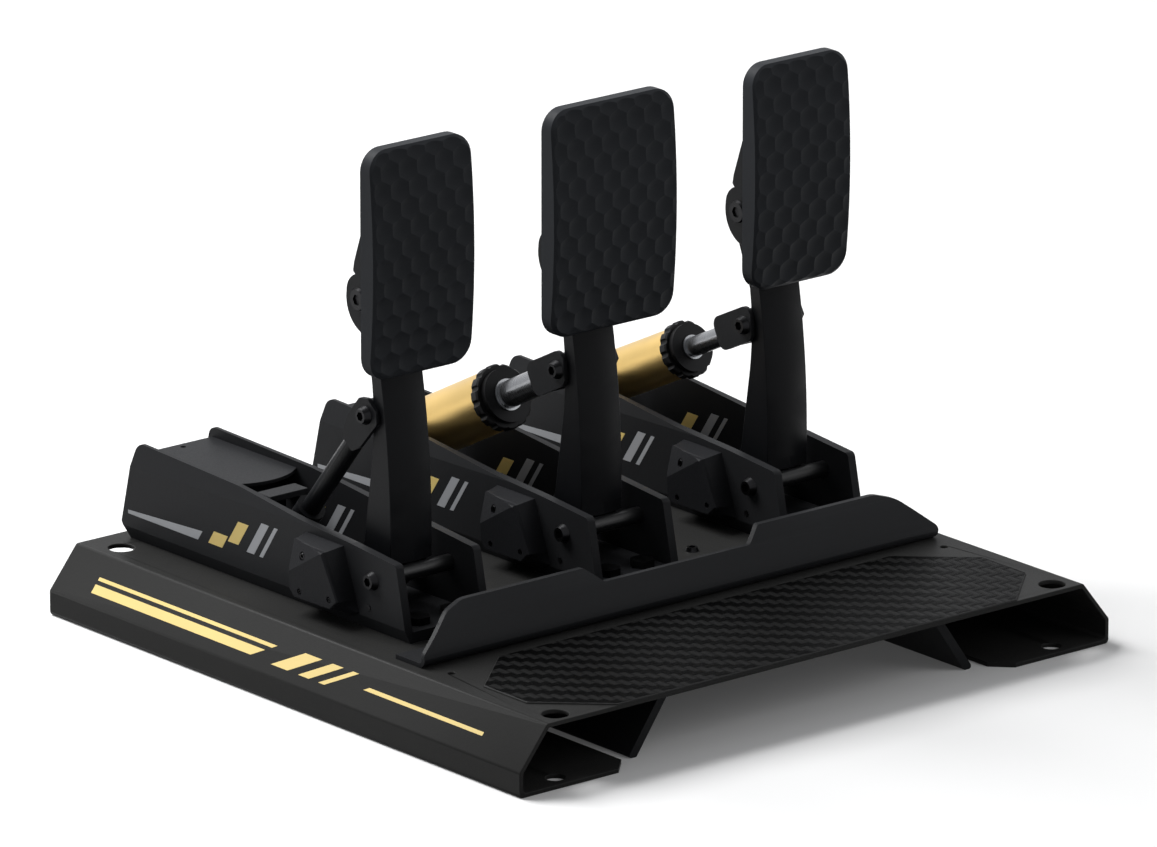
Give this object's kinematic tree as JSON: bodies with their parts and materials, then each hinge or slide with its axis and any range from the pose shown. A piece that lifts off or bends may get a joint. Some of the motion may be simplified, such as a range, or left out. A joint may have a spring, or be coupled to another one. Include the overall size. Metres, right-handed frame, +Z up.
{
  "type": "sim racing pedal set",
  "caption": "Floor pedal set with clutch, brake and throttle arms on a folded steel base, sprung struts, heel plate and heel mat.",
  "frame": {"origin": "centre of the base plate's outline, on the floor", "axes": "+X to the driver's right along the row of pedals, +Y away from the driver, +Z up"},
  "size_m": [0.406, 0.3984, 0.3005],
  "materials": {
    "black_coat": "satin powder coat, dark blue black",
    "pad_grey": "satin dark grey coat with hexagonal dimples",
    "arm_coat": "satin black coat",
    "mat_rubber": "wavy woven look, matt to satin",
    "dark_steel": "blackened screws and bolts",
    "bright_steel": "polished rod",
    "plain_steel": "plain turned steel",
    "gold_anodised": "gold anodised, fine turned",
    "black_anodised": "black anodised",
    "black_plastic": "moulded black plastic"
  },
  "bodies": {
    "base": {"base_plate": "black_coat", "under_channel": "black_coat", "heel_plate": "black_coat", "heel_mat": "mat_rubber", "pivot_shafts": "plain_steel", "pivot_spacers": "black_plastic", "tie_rods": "black_anodised", "wall_screws": "dark_steel", "module_bolts": "dark_steel", "base_screws": "dark_steel", "sensor_covers": "black_plastic", "sensor_screws": "dark_steel", "clutch_anchor": "black_coat", "brake_load_cell": "black_anodised", "throttle_anchor": "black_coat", "anchor_pins": "plain_steel", "controller_box": "black_plastic", "clutch_left_wall": "black_coat", "clutch_right_wall": "black_coat", "clutch_floor": "black_coat", "clutch_rear_cover": "black_coat", "clutch_sensor_box": "black_plastic", "brake_left_wall": "black_coat", "brake_right_wall": "black_coat", "brake_floor": "black_coat", "brake_rear_cover": "black_coat", "brake_sensor_box": "black_plastic", "throttle_left_wall": "black_coat", "throttle_right_wall": "black_coat", "throttle_floor": "black_coat", "throttle_rear_cover": "black_coat", "throttle_sensor_box": "black_plastic"},
    "clutch_strut": {"clutch_strut_tube": "black_anodised"},
    "clutch_sleeve": {"clutch_strut_can": "black_anodised"},
    "brake_rod": {"brake_lock_nut": "plain_steel", "brake_clevis": "black_coat", "brake_rod": "bright_steel"},
    "clutch_arm": {"clutch_arm": "arm_coat", "clutch_pad": "pad_grey", "clutch_pad_bracket": "arm_coat", "clutch_arm_bolts": "dark_steel"},
    "brake_arm": {"brake_arm": "arm_coat", "brake_pad": "pad_grey", "brake_pad_bracket": "arm_coat", "brake_arm_bolts": "dark_steel"},
    "throttle_arm": {"throttle_arm": "arm_coat", "throttle_pad": "pad_grey", "throttle_pad_bracket": "arm_coat", "throttle_arm_bolts": "dark_steel"},
    "brake_cylinder": {"brake_gland_ring": "bright_steel", "brake_cylinder": "gold_anodised", "brake_rear_end": "black_anodised"},
    "brake_knob": {"brake_knob": "black_anodised"},
    "throttle_rod": {"throttle_clevis": "black_coat", "throttle_rod": "bright_steel"},
    "throttle_cylinder": {"throttle_gland_ring": "bright_steel", "throttle_cylinder": "gold_anodised", "throttle_rear_end": "black_anodised"},
    "throttle_knob": {"throttle_knob": "black_anodised"}
  },
  "joints": [
    {"name": "clutch_press", "type": "hinge", "parent": "base", "child": "clutch_arm", "pos_m": [-0.13, 0.008, 0.06], "axis": [-1, 0, 0], "range_deg": [0, 20], "stiffness_Nm_per_rad": 20, "springref_deg": -14.32},
    {"name": "clutch_strut_pivot", "type": "hinge", "parent": "clutch_arm", "child": "clutch_strut", "pos_m": [-0.14155, -0.003, 0.149], "axis": [-1, 0, 0], "range_deg": [-7.36, 0]},
    {"name": "clutch_strut_slide", "type": "slide", "parent": "clutch_strut", "child": "clutch_sleeve", "axis": [0, -0.6337, 0.7736], "range_m": [0, 0.01816]},
    {"name": "brake_press", "type": "hinge", "parent": "base", "child": "brake_arm", "pos_m": [0, 0.008, 0.06], "axis": [-1, 0, 0], "range_deg": [0, 12], "stiffness_Nm_per_rad": 300, "springref_deg": -1.15},
    {"name": "brake_strut_pivot", "type": "hinge", "parent": "brake_arm", "child": "brake_rod", "pos_m": [0, -0.003, 0.149], "axis": [-1, 0, 0], "range_deg": [-8.88, 0]},
    {"name": "brake_strut_slide", "type": "slide", "parent": "brake_rod", "child": "brake_cylinder", "axis": [0, -0.8885, 0.4588], "range_m": [0, 0.01623]},
    {"name": "brake_preload_turn", "type": "hinge", "parent": "brake_cylinder", "child": "brake_knob", "pos_m": [0, 0.06275, 0.11505], "axis": [0, 0.8885, -0.4588], "continuous": true},
    {"name": "throttle_press", "type": "hinge", "parent": "base", "child": "throttle_arm", "pos_m": [0.13, 0.008, 0.06], "axis": [-1, 0, 0], "range_deg": [0, 18], "stiffness_Nm_per_rad": 13, "springref_deg": -16.04},
    {"name": "throttle_strut_pivot", "type": "hinge", "parent": "throttle_arm", "child": "throttle_rod", "pos_m": [0.13, -0.003, 0.149], "axis": [-1, 0, 0], "range_deg": [-13.57, 0]},
    {"name": "throttle_strut_slide", "type": "slide", "parent": "throttle_rod", "child": "throttle_cylinder", "axis": [0, -0.9002, 0.4354], "range_m": [0, 0.02508]},
    {"name": "throttle_preload_turn", "type": "hinge", "parent": "throttle_cylinder", "child": "throttle_knob", "pos_m": [0.13, 0.06362, 0.11678], "axis": [0, 0.9002, -0.4354], "continuous": true}
  ],
  "couplings": [
    {"joint": "clutch_strut_pivot", "follows": "clutch_press", "ratio": -0.358},
    {"joint": "clutch_strut_slide", "follows": "clutch_press", "m_per_rad": 0.05175},
    {"joint": "brake_strut_pivot", "follows": "brake_press", "ratio": -0.723},
    {"joint": "brake_strut_slide", "follows": "brake_press", "m_per_rad": 0.077},
    {"joint": "throttle_strut_pivot", "follows": "throttle_press", "ratio": -0.743},
    {"joint": "throttle_strut_slide", "follows": "throttle_press", "m_per_rad": 0.0795}
  ]
}
